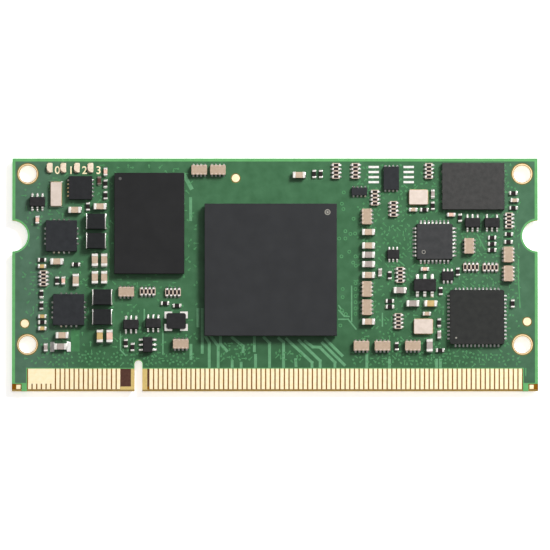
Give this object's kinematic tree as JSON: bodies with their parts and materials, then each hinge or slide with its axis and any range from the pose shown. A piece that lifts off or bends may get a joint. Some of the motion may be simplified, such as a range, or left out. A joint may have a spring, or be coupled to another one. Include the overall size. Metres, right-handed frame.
{
  "type": "system on module",
  "caption": "Flat green circuit module that slides into a card socket: gold edge contacts, key and latch notches, screw holes, a processor, memory and many small parts.",
  "frame": {"origin": "middle of the board's length and width, at the lowest face of the capacitors on its back", "axes": "+X along the contact edge, +Y from the contact edge to the top edge, +Z out of the component side"},
  "size_m": [0.0676, 0.03, 0.0029],
  "materials": {
    "laminate": "bare glass-fibre laminate",
    "solder_mask": "glossy green solder mask",
    "gold": "gold plating",
    "tin": "bright tin and solder",
    "package_laminate": "dark package laminate",
    "mould": "black mould compound",
    "flash_mould": "dark grey mould compound",
    "inductor_core": "black moulded iron powder",
    "lid": "plated metal lid",
    "ceramic": "fired ceramic",
    "dark_ceramic": "dark fired ceramic",
    "lens": "milky clear resin",
    "capacitor_ceramic": "tan fired ceramic",
    "array_ceramic": "pale tan fired ceramic",
    "glaze": "black glaze"
  },
  "bodies": {
    "root": {"board": "laminate", "solder_mask_front": "solder_mask", "solder_mask_back": "solder_mask", "edge_contacts_front": "gold", "edge_contacts_back": "gold", "mounting_hole_plating": "gold", "gold_pads": "gold", "spare_footprint_pads": "tin", "processor_substrate": "package_laminate", "processor_mould": "mould", "processor_solder_balls": "tin", "memory_substrate": "package_laminate", "memory_mould": "mould", "memory_solder_balls": "tin", "flash_mould": "flash_mould", "flash_leadframe": "tin", "network_mould": "mould", "network_leadframe": "tin", "usb_mould": "mould", "usb_leadframe": "tin", "converter_moulds": "mould", "converter_leadframes": "tin", "regulator_mould": "mould", "regulator_leadframe": "tin", "eeprom_mould": "mould", "eeprom_leadframe": "tin", "level_shifter_mould": "mould", "level_shifter_leadframe": "tin", "logic_bodies": "mould", "logic_leads": "tin", "switch_bodies": "mould", "switch_leads": "tin", "load_switch_body": "mould", "load_switch_leads": "tin", "inductor_cores": "inductor_core", "inductor_terminals": "tin", "watch_crystal_base": "ceramic", "watch_crystal_lid": "lid", "crystal_bases": "ceramic", "crystal_lids": "lid", "oscillator_body": "dark_ceramic", "oscillator_pads": "tin", "led_bases": "ceramic", "led_lenses": "lens", "diode_body": "dark_ceramic", "diode_terminals": "tin", "large_capacitor_bodies": "capacitor_ceramic", "large_capacitor_terminals": "tin", "small_capacitor_bodies": "capacitor_ceramic", "small_capacitor_terminals": "tin", "resistor_bodies": "glaze", "resistor_terminals": "tin", "resistor_array_bodies": "array_ceramic", "resistor_array_terminals": "tin", "capacitor_array_bodies": "array_ceramic", "capacitor_array_terminals": "tin", "chip_solder": "tin", "package_solder": "tin", "back_capacitor_bodies": "capacitor_ceramic", "back_capacitor_terminals": "tin"}
  },
  "joints": []
}
